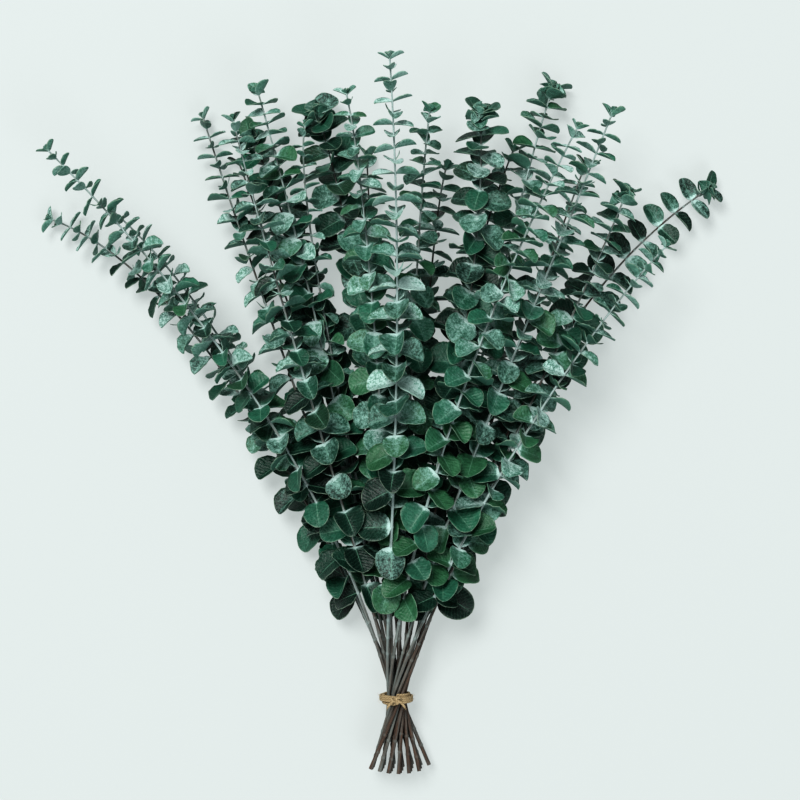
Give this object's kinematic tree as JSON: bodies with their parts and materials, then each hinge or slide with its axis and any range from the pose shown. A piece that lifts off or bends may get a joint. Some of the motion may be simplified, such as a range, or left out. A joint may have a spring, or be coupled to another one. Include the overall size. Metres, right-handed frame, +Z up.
{
  "type": "bunch of dried eucalyptus",
  "caption": "Tied bunch of dried eucalyptus lying flat: stiff stems with pairs of round blue-green leaves fan out from a twine tie and bare cut ends.",
  "frame": {"origin": "on the surface that the bunch lies on, under the middle of its outer box", "axes": "+Z up from the surface, +Y along the bunch from the cut ends to the tips, +X to the right seen from above with the tips at the top"},
  "size_m": [0.4898, 0.5042, 0.1288],
  "materials": {
    "leaf_deep": "matt deep green leaf on a dark woody stem, with a thin waxy bloom",
    "leaf_mid": "matt blue-green leaf with pale veins and a waxy bloom",
    "leaf_frosted": "matt blue-green leaf with a heavy frosted bloom",
    "twine": "plain twisted natural fibre"
  },
  "bodies": {
    "root": {"stem_left_high": "leaf_mid", "stem_left_low": "leaf_deep", "stem_left_middle": "leaf_mid", "stem_outer_left": "leaf_deep", "stem_tall_left_front": "leaf_deep", "stem_tall_left": "leaf_mid", "stem_left_back": "leaf_deep", "stem_thin_twig": "leaf_mid", "stem_dark_tip": "leaf_deep", "stem_centre_left": "leaf_mid", "stem_centre_front": "leaf_frosted", "stem_centre_right": "leaf_mid", "stem_low_right": "leaf_deep", "stem_dense_right": "leaf_deep", "stem_tall_right_back": "leaf_mid", "stem_tall_right_front": "leaf_mid", "stem_tall_right": "leaf_mid", "stem_right_middle": "leaf_deep", "stem_far_right": "leaf_deep", "stem_right_front": "leaf_mid", "stem_under_left": "leaf_deep", "stem_under_centre": "leaf_deep", "stem_under_right": "leaf_deep", "stem_under_far_right": "leaf_deep", "tie": "twine"}
  },
  "joints": []
}
